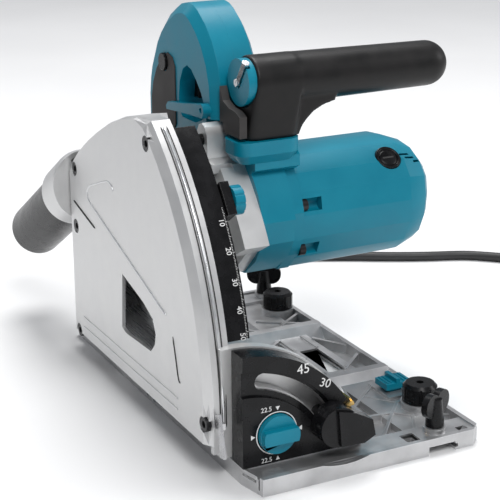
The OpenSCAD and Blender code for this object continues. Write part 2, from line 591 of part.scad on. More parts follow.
// ------------------------------------------------------------------ handles and controls
module grip_outline() polygon([[126.5, 160.3], [124.5, 185], [126.5, 203], [131, 216], [138, 227], [147, 236], [157, 242.6],
    [163, 245], [170, 246], [180, 244], [188, 240], [197, 235], [205, 228], [212, 220], [217, 211], [222, 202],
    [225, 193], [227, 182], [227, 166], [226, 150], [221, 138], [215, 128], [190, 128], [186, 160.3]]);
module grip_hole() polygon([[152, 175.5], [142, 179], [138.8, 183], [139, 188], [143, 195], [150, 202], [157, 207.5],
    [163, 209], [169, 206], [174, 198], [176, 187], [175, 179], [171, 175.5]]);
module rubber_panel() polygon([[180, 169], [180, 205], [184, 210.5], [191, 212.5], [200, 208], [208, 200], [214, 190],
    [217, 180], [217.5, 166], [216, 152], [212, 142], [206, 136], [196, 136], [190, 150], [184, 163]]);
module rubber_zone() polygon([[187, 120], [187, 172], [189, 200], [192, 213], [203, 218], [216, 214], [235, 205],
    [235, 120]]);
module handle_half(s) difference() {
    union() {
        side(s < 0 ? handle_x - 11.9 : handle_x, s < 0 ? handle_x : handle_x + 11.9) grip_outline();
        // long facet round the edge of the cheek
        intersection() {
            hull() {
                side(s < 0 ? handle_x - 12 : handle_x + 11.8, s < 0 ? handle_x - 11.8 : handle_x + 12) grip_outline();
                side(s < 0 ? handle_x - 17 : handle_x + 15.9, s < 0 ? handle_x - 16.9 : handle_x + 16)
                    offset(delta = -6) grip_outline();
            }
            side(0, 100) grip_outline();
        }
    }
    side(0, 100) grip_hole();
    side(0, 100) difference() {
        rubber_zone();
        offset(delta = -1.5) grip_outline();
    }
    // room for the hook block, the trigger, the switch, the button and the lever
    block(30, 47.5, 110, 136.5, 150, 181.6);
    block(47.7, 62.3, 174, 201, 185.7, 198.3);
    block(45.8, 64.2, 195.8, 214.2, 159.8, 200.2);
    cyl_x(5.5 + fit, 30, 47, 196, 206, 48);
    cyl_x(4 + fit, 30, 46.3, 134, 187, 48);
    guard(0.05);
}
module handle_left() color([0.0, 0.47, 0.58]) lay() handle_half(-1);
module handle_right() color([0.0, 0.47, 0.58]) lay() handle_half(1);
module handle_rubber() color([0.27, 0.25, 0.25]) lay() {
    difference() {
        side(handle_x - 11.9, handle_x + 11.9) intersection() {
            rubber_zone();
            difference() {
                grip_outline();
                offset(delta = -1.49) grip_outline();
            }
        }
        cyl_x(6, 30, 47, 196, 206, 48);
        guard(0.05);
    }
    difference() {
        side(handle_x - 17.8, handle_x - 17) rubber_panel();
        cyl_x(6, 30, 47, 196, 206, 48);
    }
    side(40, 44.9) polygon([[98, 176.2], [98, 189], [104, 191.5], [112, 192], [120, 195], [124, 203], [124, 182],
        [119.6, 181.8], [119.6, 176.2]]);
}
module trigger() color([0.08, 0.08, 0.085]) lay() side(48, 62)
    polygon([[170, 186], [172, 192], [170, 198], [190, 198], [190, 186]]);
module switch_module() color([0.15, 0.15, 0.16]) lay() block(46, 64, 196, 214, 160, 200);
module lock_off_button() color([0.24, 0.22, 0.22]) lay() cyl_x(5.5, 34.5, 42.5, 196, 206, 48);
module lock_lever() color([0.0, 0.47, 0.58]) lay() difference() {
    union() {
        side(32, 35.8) polygon([[131, 190], [130, 186], [132, 182.5], [150, 181.5], [184, 178.3], [185, 180.5],
            [182, 183.4], [160, 186.5], [140, 190]]);
        cyl_x(4, 32, 46, 134, 187, 48);
    }
    cyl_x(1.6, 31, 33, 134, 187, 24);
}
module speed_dial() color([0.1, 0.1, 0.105]) lay() difference() {
    cyl_y(11.2, 168.1, 176, 95, 127);
    for (a = [0:30:330]) cyl_y(0.9, 171, 177, 95 + 11.4 * cos(a), 127 + 11.4 * sin(a), 16);
}
module front_grip() color([0.07, 0.068, 0.066]) lay() difference() {
    union() {
        translate([51, 110, 207]) rotate([0, 90, 0]) cylinder(r1 = 15.5, r2 = 14, h = grip_end - 65);
        translate([grip_end - 14, 110, 207]) sphere(r = 14, $fn = 64);
        hull() {
            cyl_x(15.4, 51, 80, 110, 207, 32);
            for (x = [51.2, 73], y = [103, 113.6]) translate([x, y, 174.1]) cylinder(r = 6, h = 4);
        }
        block(50.9, 77.4, 99.3, 117.7, 166.2, 176);
        face(99, 117.6) polygon([[77, 174.5], [77, 198], [106, 198], [105, 192.6], [97, 190.6], [90.5, 187.5],
            [85.5, 183.2], [82, 178.6], [80.4, 174.5]]);
    }
    cyl_x(2.6, 44, 132, 110, 207, 32);
    cyl_x(14.1, 40, 51, 110, 207);
}
module grip_cap() color([0.0, 0.47, 0.58]) lay() difference() {
    cyl_x(14, 45.4, 51, 110, 207);
    cyl_x(2.6, 44, 52, 110, 207, 32);
    translate([44, 110, 207]) rotate([35, 0, 0]) translate([0, -2.7, -2.7]) cube([4.2, 5.4, 22]);
}
module hex_key() color([0.75, 0.75, 0.77]) lay() {
    translate([43.5, 110, 207]) rotate([0, 90, 0]) cylinder(r = 2.5, h = 84, $fn = 6);
    translate([45.7, 110, 207]) rotate([35, 0, 0]) cylinder(r = 2.4, h = 16, $fn = 6);
}
module scoring_stop() color([0.06, 0.06, 0.065]) lay() {
    cyl_x(3.5, 17, 42, 128, 171, 32);
    cyl_x(4.6, 14, 17, 128, 171, 32);
}

// ------------------------------------------------------------------ cord
// Points that the cord's middle passes through, laid by hand. The first stretch rides with the
// case, the second lies on the floor, and they meet at cord_way[0].
guard_from = [54, 218, 140];
lead_way = [[54, 239, 112], [56, 247, 101], [64, 259, 86], [76, 273, 71], [89, 287, 57], [98, 302, 45]];
cord_way = [[98, 302, 45], [105, 319, 32], [112, 335, 19], [122, 349, 9], [138, 358, 4], [162, 361, 3.8],
    [190, 356, 3.8], [222, 344, 3.8], [254, 328, 3.8], [282, 312, 3.8], [310, 298, 3.8], [338, 286, 3.8],
    [356, 272, 3.8], [372, 256, 3.8], [387, 240, 3.8]];
tail_way = [[451, 214.5, 10.4], [466, 217, 9], [479, 220.5, 7.8], [491, 222, 7.4]];
coil_mid = [432, 262];
coil_r = 5.45 * cord_d;
coil_w = 0.53 * cord_d * sqrt(coil_turns);
join_dir = unit([7, 16, -12.5]);
function unit(v) = v / norm(v);
// Catmull-Rom point between b and c
function between(a, b, c, d, t) = 0.5 * (2 * b + (c - a) * t + (2 * a - 5 * b + 4 * c - d) * t * t
    + (3 * b - a - 3 * c + d) * t * t * t);
function smooth(p, n) = concat([for (i = [0:len(p) - 2]) for (k = [0:n - 1])
    between(p[max(i - 1, 0)], p[i], p[i + 1], p[min(i + 2, len(p) - 1)], k / n)], [p[len(p) - 1]]);
module tube(way, r, first, last, sides = 10) {
    n = len(way);
    pts = [for (i = [0:n - 1]) let (d = i == 0 ? first : i == n - 1 ? last : unit(way[i + 1] - way[i - 1]),
        u = unit(cross(d, [0.01, 0.02, 1])), v = cross(d, u))
        for (j = [0:sides - 1]) way[i] + r * (u * cos(j * 360 / sides) + v * sin(j * 360 / sides))];
    polyhedron(pts, concat([[for (j = [0:sides - 1]) j]],
        [for (i = [0:n - 2]) for (j = [0:sides - 1])
            [i * sides + j, (i + 1) * sides + j, (i + 1) * sides + (j + 1) % sides, i * sides + (j + 1) % sides]],
        [[for (j = [0:sides - 1]) (n - 1) * sides + sides - 1 - j]]), convexity = 8);
}
guard_dir = unit(lead_way[0] - guard_from);
module guard(more = 0) translate(guard_from) rotate([-acos(guard_dir[2]), 0, 0])
    cylinder(r1 = 8 + more, r2 = 5 + more, h = norm(lead_way[0] - guard_from));
module cord_guard() color([0.06, 0.06, 0.065]) lay() guard();
module cord_lead() color([0.07, 0.07, 0.07]) lay() tube(smooth(lead_way, 2), cord_d / 2, guard_dir, join_dir);
module cord() color([0.07, 0.07, 0.07]) lay() {
    tube(smooth(cord_way, 2), cord_d / 2, join_dir, unit([14, -15, 0]));
    tube(tail_way, cord_d / 2, unit([18, 1, -0.5]), [1, 0, 0]);
}
module cord_coil() color([0.07, 0.07, 0.07]) lay() translate([coil_mid[0], coil_mid[1], 0])
    rotate_extrude($fn = 96) translate([coil_r, coil_w * 0.95 + 0.15]) scale([1, 0.95]) circle(r = coil_w, $fn = 24);
module plug() color([0.07, 0.07, 0.07]) lay() {
    block(491, 527, 208, 236, 0.3, 14.5);
    for (y = [212.5, 231.5]) cyl_x(2.4, 527, 546, y, 7.4, 32);
}

base_plate();
glide_strips();
front_sector();
rear_sector();
front_sector_cover();
rear_sector_cover();
sector_screws();
stop_selector_knob();
front_rail_cam();
rear_rail_cam();
front_thumb_screw();
rear_thumb_screw();
rail_catch_lever();
blade_case_cover();
blade_case();
case_screws();
depth_scale_guide();
cut_line_guide();
plunge_shaft();
plunge_spring();
bevel_bolts();
bevel_pointer();
front_clamp_lever();
rear_clamp_lever();
depth_stop_slider();
depth_stop_knob();
dust_nozzle();
gear_housing();
bearings();
motor_housing();
housing_screws();
field_stator();
brush_holders();
brush_caps();
handle_left();
handle_right();
handle_rubber();
switch_module();
front_grip();
grip_cap();
cord_guard();
hex_key();
trigger();
lock_off_button();
lock_lever();
speed_dial();
scoring_stop();
armature_shaft();
armature_core();
fan();
spindle();
drive_gear();
inner_flange();
outer_flange();
blade_bolt();
saw_blade();
cord_lead();
cord();
cord_coil();
plug();
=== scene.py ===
import json
import math

import bmesh
import bpy
from mathutils import Matrix, Vector


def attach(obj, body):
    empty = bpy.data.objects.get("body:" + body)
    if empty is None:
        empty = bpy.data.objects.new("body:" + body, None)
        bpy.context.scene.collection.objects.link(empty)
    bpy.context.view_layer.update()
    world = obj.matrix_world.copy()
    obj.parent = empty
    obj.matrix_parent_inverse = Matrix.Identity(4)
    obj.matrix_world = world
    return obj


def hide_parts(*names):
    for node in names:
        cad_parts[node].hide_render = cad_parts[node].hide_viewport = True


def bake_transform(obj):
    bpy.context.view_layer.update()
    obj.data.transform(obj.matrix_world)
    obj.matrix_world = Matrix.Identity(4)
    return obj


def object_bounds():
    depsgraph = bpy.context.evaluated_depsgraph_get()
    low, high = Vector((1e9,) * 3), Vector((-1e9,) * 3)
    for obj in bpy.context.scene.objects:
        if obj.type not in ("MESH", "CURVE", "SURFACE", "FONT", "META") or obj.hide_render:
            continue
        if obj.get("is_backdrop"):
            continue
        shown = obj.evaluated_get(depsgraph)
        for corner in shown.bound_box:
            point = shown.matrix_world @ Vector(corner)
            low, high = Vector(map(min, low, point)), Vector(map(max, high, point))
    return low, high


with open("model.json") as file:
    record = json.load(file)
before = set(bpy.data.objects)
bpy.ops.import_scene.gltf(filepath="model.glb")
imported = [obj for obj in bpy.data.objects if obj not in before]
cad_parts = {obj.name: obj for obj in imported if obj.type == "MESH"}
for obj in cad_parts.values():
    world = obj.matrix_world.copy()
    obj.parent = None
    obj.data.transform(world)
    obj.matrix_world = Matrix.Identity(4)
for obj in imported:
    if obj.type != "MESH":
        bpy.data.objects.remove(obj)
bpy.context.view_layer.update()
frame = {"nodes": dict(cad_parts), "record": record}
nodes = frame["nodes"]
body_of = {n: b for b, ns in frame["record"]["behaviour"]["bodies"].items() for n in ns}
scene = bpy.context.scene
MM = 0.001


def at(x, y, z):
    """A point given from the base's cut edge (x), front edge (y) and sole (z), in mm."""
    return Vector(((x - 75) * MM, (y - 137.5) * MM, z * MM))


# ------------------------------------------------------------------ camera and light
AZIMUTH, ELEVATION, ROLL = (math.radians(a) for a in (-27.0, 18.25, -0.27))
CAMERA_AT = Vector((-0.39442, -0.75752, 0.37369))
FOCAL_MM, SENSOR_MM = 102.57, 36
back = Vector((math.sin(AZIMUTH) * math.cos(ELEVATION), -math.cos(AZIMUTH) * math.cos(ELEVATION),
               math.sin(ELEVATION)))
right = (-back).cross(Vector((0, 0, 1))).normalized()
upward = right.cross(-back)
cam_x = math.cos(ROLL) * right + math.sin(ROLL) * upward
cam_y = -math.sin(ROLL) * right + math.cos(ROLL) * upward
lens = bpy.data.cameras.new("camera")
lens.sensor_width, lens.lens = SENSOR_MM, FOCAL_MM
lens.clip_start, lens.clip_end = 0.05, 50
cam = bpy.data.objects.new("camera", lens)
turn = Matrix((cam_x, cam_y, back)).transposed().to_4x4()
turn.translation = CAMERA_AT
cam.matrix_world = turn
scene.collection.objects.link(cam)
scene.camera = cam


def lamp(name, where, aim_height, size, power):
    """A round soft lamp, size in m and power in W, that faces the axis over the saw's middle."""
    data = bpy.data.lights.new(name, "AREA")
    data.shape, data.size, data.energy = "DISK", size, power
    o = bpy.data.objects.new(name, data)
    o.location = where
    o.rotation_mode = "QUATERNION"
    o.rotation_quaternion = (Vector(where) - Vector((0, 0, aim_height))).to_track_quat("Z", "Y")
    scene.collection.objects.link(o)


lamp("key", (-0.3, -1.5, 1.9), 0.1, 0.9, 25)
lamp("top", (0.3, 0.5, 1.9), 0.15, 1.0, 28)
lamp("side", (1.7, -0.7, 0.9), 0.15, 0.8, 7)
lamp("rear", (-0.5, 1.7, 1.5), 0.15, 0.9, 4)
world = bpy.data.worlds.new("studio")
world.use_nodes = True
world.node_tree.nodes["Background"].inputs["Color"].default_value = (0.93, 0.95, 1, 1)
world.node_tree.nodes["Background"].inputs["Strength"].default_value = 0.36
scene.world = world
scene.view_settings.view_transform = "Standard"


# ------------------------------------------------------------------ materials
WEAR_AND_HIGHLIGHT_WIDTH = 0.7          # mm of an edge given the painted highlight and wear
WEAR_AND_HIGHLIGHT_FROM_TO = 0.99, 0.9  # how far the eased normal agrees with the surface's, from none of the painted highlight and wear to all of it
WEAR_AND_HIGHLIGHT_MOST = 0.7           # share of the painted highlight and wear colour where it is strongest
NOISE_SPAN = 0.3, 0.7     # the noise values between which a tone runs from dark to light


def finish(name, dark, light, rough=(0.4, 0.5), metal=0.0, mottle=70.0, grain=1500.0, bump=0.25,
           depth=0.05, shine=0.5, stretch=None, wear_and_highlight=None):
    """A finish whose tone, roughness and relief vary over the surface. depth is in mm.

    mottle and grain are the scales of the broad tone and the fine relief, stretch draws both out along an
    axis, and the last argument is the colour painted along edges: a painted highlight on them, and wear.
    """
    m = bpy.data.materials.new(name)
    m.use_nodes = True
    tree = m.node_tree
    new, link = tree.nodes.new, tree.links.new
    shader = tree.nodes["Principled BSDF"]
    shader.inputs["Metallic"].default_value = metal
    shader.inputs["Specular IOR Level"].default_value = shine
    where = new("ShaderNodeTexCoord").outputs["Object"]
    if stretch:
        mapping = new("ShaderNodeMapping")
        mapping.inputs["Scale"].default_value = stretch
        link(where, mapping.inputs["Vector"])
        where = mapping.outputs["Vector"]
    big, fine = new("ShaderNodeTexNoise"), new("ShaderNodeTexNoise")
    big.inputs["Scale"].default_value, big.inputs["Detail"].default_value = mottle, 6
    fine.inputs["Scale"].default_value, fine.inputs["Detail"].default_value = grain, 3
    link(where, big.inputs["Vector"])
    link(where, fine.inputs["Vector"])
    ramp = new("ShaderNodeValToRGB")
    for stop, position, tone in zip(ramp.color_ramp.elements, NOISE_SPAN, (dark, light)):
        stop.position, stop.color = position, (*tone, 1)
    link(big.outputs["Fac"], ramp.inputs["Fac"])
    colour = ramp.outputs["Color"]
    # a painted highlight, and wear: a brighter colour mixed in on edges
    if wear_and_highlight:  # an edge is where the eased normal leaves the surface's own
        eased = new("ShaderNodeBevel")
        eased.samples = 4
        eased.inputs["Radius"].default_value = WEAR_AND_HIGHLIGHT_WIDTH * MM
        apart = new("ShaderNodeVectorMath")
        apart.operation = "DOT_PRODUCT"
        link(eased.outputs["Normal"], apart.inputs[0])
        link(new("ShaderNodeNewGeometry").outputs["Normal"], apart.inputs[1])
        sharp = new("ShaderNodeMapRange")
        sharp.inputs["From Min"].default_value, sharp.inputs["From Max"].default_value = WEAR_AND_HIGHLIGHT_FROM_TO
        sharp.inputs["To Max"].default_value = WEAR_AND_HIGHLIGHT_MOST
        link(apart.outputs["Value"], sharp.inputs["Value"])
        mix = new("ShaderNodeMix")
        mix.data_type = "RGBA"
        mix.inputs["B"].default_value = (*wear_and_highlight, 1)
        link(sharp.outputs["Result"], mix.inputs["Factor"])
        link(colour, mix.inputs["A"])
        colour = mix.outputs["Result"]
    link(colour, shader.inputs["Base Color"])
    spread = new("ShaderNodeMapRange")
    spread.inputs["From Min"].default_value, spread.inputs["From Max"].default_value = NOISE_SPAN
    spread.inputs["To Min"].default_value, spread.inputs["To Max"].default_value = rough
    link(big.outputs["Fac"], spread.inputs["Value"])
    link(spread.outputs["Result"], shader.inputs["Roughness"])
    relief = new("ShaderNodeBump")
    relief.inputs["Strength"].default_value = bump
    relief.inputs["Distance"].default_value = depth * MM
    link(fine.outputs["Fac"], relief.inputs["Height"])
    link(relief.outputs["Normal"], shader.inputs["Normal"])
    return m


MAT = {
    # cast_alu and base_alu have brighter edges: a painted highlight along them, and wear
    "cast_alu": finish("cast_alu", (0.62, 0.62, 0.62), (0.68, 0.68, 0.675), (0.34, 0.44), 0.7, 60, 1900,
                       0.5, 0.1, wear_and_highlight=(0.7, 0.71, 0.72)),
    "base_alu": finish("base_alu", (0.46, 0.46, 0.465), (0.62, 0.62, 0.625), (0.28, 0.4), 0.8, 60, 1500,
                       0.45, 0.09, wear_and_highlight=(0.85, 0.86, 0.87)),
    "band_alu": finish("band_alu", (0.66, 0.67, 0.68), (0.78, 0.79, 0.80), (0.26, 0.36), 0.9, 200, 2600,
                       0.2, 0.03),
    "black_plastic": finish("black_plastic", (0.004, 0.004, 0.0045), (0.009, 0.009, 0.01), (0.22, 0.31), 0,
                            120, 2600, 0.3, 0.03, shine=0.22),
    "teal_plastic": finish("teal_plastic", (0.0, 0.185, 0.275), (0.0, 0.215, 0.31), (0.32, 0.42), 0, 40,
                           2400, 0.3, 0.04, shine=0.32),
    "grey_rubber": finish("grey_rubber", (0.034, 0.031, 0.03), (0.05, 0.046, 0.045), (0.55, 0.7), 0, 90,
                          1900, 0.5, 0.08, shine=0.35),
    "black_rubber": finish("black_rubber", (0.005, 0.005, 0.005), (0.01, 0.009, 0.009), (0.36, 0.48), 0, 90,
                           2100, 0.4, 0.06, shine=0.3),
    "steel": finish("steel", (0.5, 0.5, 0.51), (0.62, 0.62, 0.63), (0.2, 0.32), 1.0, 150, 3000, 0.2, 0.02),
    "black_steel": finish("black_steel", (0.014, 0.014, 0.015), (0.035, 0.035, 0.037), (0.28, 0.4), 0.55,
                          150, 2600, 0.25, 0.03),
    "blade_steel": finish("blade_steel", (0.44, 0.45, 0.46), (0.62, 0.63, 0.64), (0.2, 0.38), 1.0, 40, 1500,
                          0.2, 0.02, stretch=(1, 1, 14)),
    "spring_steel": finish("spring_steel", (0.2, 0.2, 0.21), (0.36, 0.36, 0.38), (0.25, 0.4), 1.0, 200),
    "brass": finish("brass", (0.55, 0.36, 0.12), (0.72, 0.5, 0.2), (0.22, 0.34), 1.0, 200, 2600, 0.2, 0.03),
    "copper": finish("copper", (0.25, 0.09, 0.035), (0.55, 0.24, 0.1), (0.3, 0.45), 0.9, 500, 2500, 0.6, 0.2,
                     stretch=(0.2, 1, 1)),
    "laminations": finish("laminations", (0.2, 0.2, 0.21), (0.34, 0.34, 0.35), (0.35, 0.5), 0.9, 300, 2500,
                          0.5, 0.1, stretch=(8, 1, 1)),
    "glide_plastic": finish("glide_plastic", (0.62, 0.62, 0.6), (0.72, 0.72, 0.69), (0.4, 0.5), 0, 90, 2000,
                            0.2, 0.03),
    "cord_rubber": finish("cord_rubber", (0.012, 0.012, 0.012), (0.024, 0.024, 0.025), (0.42, 0.55), 0, 60,
                          1700, 0.3, 0.05),
    "white_print": finish("white_print", (0.74, 0.74, 0.73), (0.82, 0.82, 0.81), (0.45, 0.55), 0, 300, 2600,
                          0.15, 0.02),
    # dark lines: on the blade case they are painted shade of a crease, a slot and the seam grooves
    "dark_line_and_shade": finish("dark_line_and_shade", (0.02, 0.02, 0.02), (0.035, 0.035, 0.035), (0.5, 0.6), 0, 300, 2600,
                         0.15, 0.02),
}


# ------------------------------------------------------------------ meshes made here
def piece_of(bm, name):
    """The mesh as an object in the scene, with its faces turned outwards."""
    bmesh.ops.recalc_face_normals(bm, faces=bm.faces)
    mesh = bpy.data.meshes.new(name)
    bm.to_mesh(mesh)
    bm.free()
    o = bpy.data.objects.new(name, mesh)
    scene.collection.objects.link(o)
    return o


def tube(name, points, radius, material, sides=16, shrink=1.0):
    """A round bar along the points, as one closed mesh. shrink narrows its two end rings."""
    bm = bmesh.new()
    pts = [Vector(p) for p in points]
    rings, u = [], None
    for i, p in enumerate(pts):
        ahead = (pts[min(i + 1, len(pts) - 1)] - pts[max(i - 1, 0)]).normalized()
        u = ahead.orthogonal().normalized() if u is None else (u - ahead * u.dot(ahead)).normalized()
        v = ahead.cross(u)
        r = radius * (shrink if i in (0, len(pts) - 1) else 1.0)
        rings.append([bm.verts.new(p + r * (u * math.cos(a) + v * math.sin(a)))
                      for a in (math.tau * k / sides for k in range(sides))])
    for a, b in zip(rings, rings[1:]):
        for k in range(sides):
            bm.faces.new((a[k], a[(k + 1) % sides], b[(k + 1) % sides], b[k]))
    bm.faces.new(rings[0][::-1])
    bm.faces.new(rings[-1])
    o = piece_of(bm, name)
    o.data.shade_smooth()
    o.data.materials.append(material)
    return o


def smooth_way(way, n):
    """Points along a Catmull-Rom curve through the way points."""
    out = []
    for i in range(len(way) - 1):
        a, b, c, d = (Vector(way[max(0, min(len(way) - 1, i + k))]) for k in (-1, 0, 1, 2))
        for k in range(n):
            t = k / n
            out.append(0.5 * (2 * b + (c - a) * t + (2 * a - 5 * b + 4 * c - d) * t * t
                              + (3 * b - a - 3 * c + d) * t ** 3))
    return out + [Vector(way[-1])]


# ------------------------------------------------------------------ cords
CORD_D = 7.4
LYING = 3.8  # height of the lying cord's middle
LEAD = [(54, 239, 112), (56, 247, 101), (64, 259, 86), (76, 273, 71), (89, 287, 57), (98, 302, 45)]
LAID = [(98, 302, 45), (105, 319, 32), (112, 335, 19), (122, 349, 9), (138, 358, 4), (162, 361, LYING),
        (190, 356, LYING), (222, 344, LYING), (254, 328, LYING), (282, 312, LYING), (310, 298, LYING),
        (338, 286, LYING), (356, 272, LYING), (372, 256, LYING), (387, 240, LYING)]
COIL = (432, 262)
COIL_R = 40.33  # at the middle column of turns
PITCH = 7.43    # from one turn to the next
JOIN = 229.4    # degrees round the coil where the laid stretch comes in
LEAVE = 270.0   # and where the tail goes out
TAIL = [(449, 214.4, 10.6), (466, 217, 9), (479, 220.5, 7.8), (491, 222, 7.4)]
# the cell, column out from the middle and layer, that each turn of the coil lies in
CELLS = [(1, 0), (0, 0), (-1, 0), (-1, 1), (-1, 2), (0, 2), (0, 1), (1, 1)]
STEP = 6            # degrees between points
CROSS_FIRST = 305   # degrees into the first turn where it starts to step over
CROSS_EARLIER = 41  # how much earlier each later turn does
CROSS_OVER = 50     # degrees that a step takes


def coil_turns():
    """The wound turns: each lies in its own cell and steps to the next before the one it follows."""
    last = len(CELLS) - 1
    sweep = LEAVE + 360 * last - JOIN
    n = int(sweep / STEP)
    out = []
    for k in range(n + 1):
        degrees = JOIN + sweep * k / n
        turn = (degrees - JOIN) / 360
        i = min(int(turn), last)
        here, there = CELLS[i], CELLS[min(i + 1, last)]
        t = max(0.0, min(1.0, ((turn - i) * 360 - (CROSS_FIRST - CROSS_EARLIER * i)) / CROSS_OVER))
        t = t * t * (3 - 2 * t)
        column = here[0] + (there[0] - here[0]) * t
        layer = here[1] + (there[1] - here[1]) * t
        r, a = COIL_R + PITCH * column, math.radians(degrees)
        out.append(Vector((COIL[0] + r * math.cos(a), COIL[1] + r * math.sin(a), LYING + PITCH * layer)))
    return out


lead_points = [at(*p) for p in smooth_way(LEAD, 6)]
laid_points = [at(*p) for p in smooth_way(LAID, 5) + coil_turns() + smooth_way(TAIL, 5)]
lead = tube("cord_lead_run", lead_points, CORD_D / 2 * MM, MAT["cord_rubber"])
cord = tube("cord_run", laid_points, CORD_D / 2 * MM, MAT["cord_rubber"])


# ------------------------------------------------------------------ pieces from CAD bodies
def set_sharp(mesh, angle):
    """Smooth shading that breaks at edges sharper than angle, in degrees."""
    mesh.shade_smooth()
    mesh.set_sharp_from_angle(angle=math.radians(angle))


def cleaned(source, weld, whole_faces=True):
    """A copy of the mesh, welded within weld, in mm, and free of slivers.

    whole_faces joins its coplanar triangles.
    """
    bm = bmesh.new()
    bm.from_mesh(source)
    bmesh.ops.remove_doubles(bm, verts=bm.verts, dist=weld * MM)
    bmesh.ops.dissolve_degenerate(bm, edges=bm.edges, dist=weld / 2 * MM)
    if whole_faces:
        bmesh.ops.dissolve_limit(bm, angle_limit=math.radians(1), verts=bm.verts, edges=bm.edges)
    mesh = bpy.data.meshes.new(source.name + "_shape")
    bm.to_mesh(mesh)
    bm.free()
    return mesh


def cad_mesh(node, whole_faces=True):
    """The node's solid as one welded mesh."""
    return cleaned(nodes[node].data, 0.004, whole_faces)


def settle(o, node, material):
    """The piece stands for the node, with the node's body and the material given."""
    o.data.materials.clear()
    o.data.materials.append(MAT[material])
    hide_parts(node)
    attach(o, body_of[node])
    return o


def piece_for(node, mesh):
    """A new object for the node, in the scene."""
    o = bpy.data.objects.new(node + "_part", mesh)
    scene.collection.objects.link(o)
    return o


def apply_modifiers(o):
    """Make the object's modifiers part of its mesh."""
    bpy.context.view_layer.update()
    done = bpy.data.meshes.new_from_object(o.evaluated_get(bpy.context.evaluated_depsgraph_get()))
    o.modifiers.clear()
    o.data = done


FLAT_CORNERS = 7  # a face with this many corners or more is a flat one, not a strip of a curve


def level(mesh, within=38):
    """Shade flat faces flat and curved ones smooth: the largest faces at a corner set its normal."""
    limit = math.cos(math.radians(within))
    faces = [(p.normal.copy(), (p.area / MM ** 2) ** 2, len(p.vertices)) for p in mesh.polygons]
    around = [[] for _ in mesh.vertices]
    for p in mesh.polygons:
        for v in p.vertices:
            around[v].append(p.index)
    normals = [None] * len(mesh.loops)
    for p in mesh.polygons:
        n, _, corners = faces[p.index]
        for k, v in zip(p.loop_indices, p.vertices):
            total = Vector(n)
            if corners < FLAT_CORNERS:
                total = Vector((0, 0, 0))
                for g in around[v]:
                    m, weight, _ = faces[g]
                    if m.dot(n) > limit:
                        total += m * (weight + 1e-9)
            normals[k] = total.normalized() if total.length > 1e-14 else n
    mesh.shade_smooth()
    mesh.normals_split_custom_set(normals)


def crisp(node, material, width, segments=2, angle=32, shape=None):
    """A machined or sharply moulded piece: the CAD shape with its edges broken by width, in mm."""
    o = piece_for(node, shape or cad_mesh(node))
    set_sharp(o.data, 30)
    edge = o.modifiers.new("edges", "BEVEL")
    edge.width, edge.segments, edge.limit_method = width * MM, segments, "ANGLE"
    edge.angle_limit = math.radians(angle)
    edge.harden_normals = True
    edge.miter_outer = "MITER_ARC"
    edge.use_clamp_overlap = True
    apply_modifiers(o)
    level(o.data)
    return settle(o, node, material)


def soft(node, material, voxel, passes):
    """A soft moulded piece: rounded all over by fine remeshing, voxel in mm, and smoothing."""
    o = piece_for(node, cad_mesh(node, whole_faces=False))
    grid = o.modifiers.new("grid", "REMESH")
    grid.mode, grid.voxel_size = "VOXEL", voxel * MM
    ease = o.modifiers.new("ease", "SMOOTH")
    ease.factor, ease.iterations = 0.5, passes
    apply_modifiers(o)
    o.data.shade_smooth()
    return settle(o, node, material)


def keep(node, material):
    """An inside part, shown as the CAD made it, with its own finish."""
    o = nodes[node]
    for s in o.material_slots:
        s.material = MAT[material]
    if not o.material_slots:
        o.data.materials.append(MAT[material])


PIVOT = (225, 35)  # the plunge shaft, in y and z


def about_pivot(r, degrees):
    """A point in y and z at radius r and an angle up from the shaft's front."""
    a = math.radians(degrees)
    return PIVOT[0] - r * math.cos(a), PIVOT[1] + r * math.sin(a)


def cover_outline(r, out=0.0):
    """The blade case's outline in y and z, mm: an arc about the plunge shaft, then the back."""
    return [about_pivot(r, -8 + 61 * i / 16) for i in range(17)] + [
        (124, 189 + out), (145, 184.5 + out), (165, 177.5 + out), (183, 169 + out), (200, 160 + out),
        (218, 149 + out), (232, 138 + out), (237 + out, 130 + out), (237 + out, 13)]


def sloped_cover():
    """The cover with its stepped edge drawn over into one slope: each step's root moves out to its crest."""
    mesh = cad_mesh("blade_case_cover", whole_faces=False)
    outer, middle, inner = cover_outline(195, 1.5), cover_outline(192.5, 1), cover_outline(189.5)
    for x, roots, crests in ((-13, inner, middle), (-11, middle, outer)):
        for root, crest in zip(roots, crests):
            here, there = at(x, *root), at(x, *crest)
            for v in mesh.vertices:
                if (v.co - here).length < 0.06 * MM:
                    v.co = there
    return cleaned(mesh, 0.02)


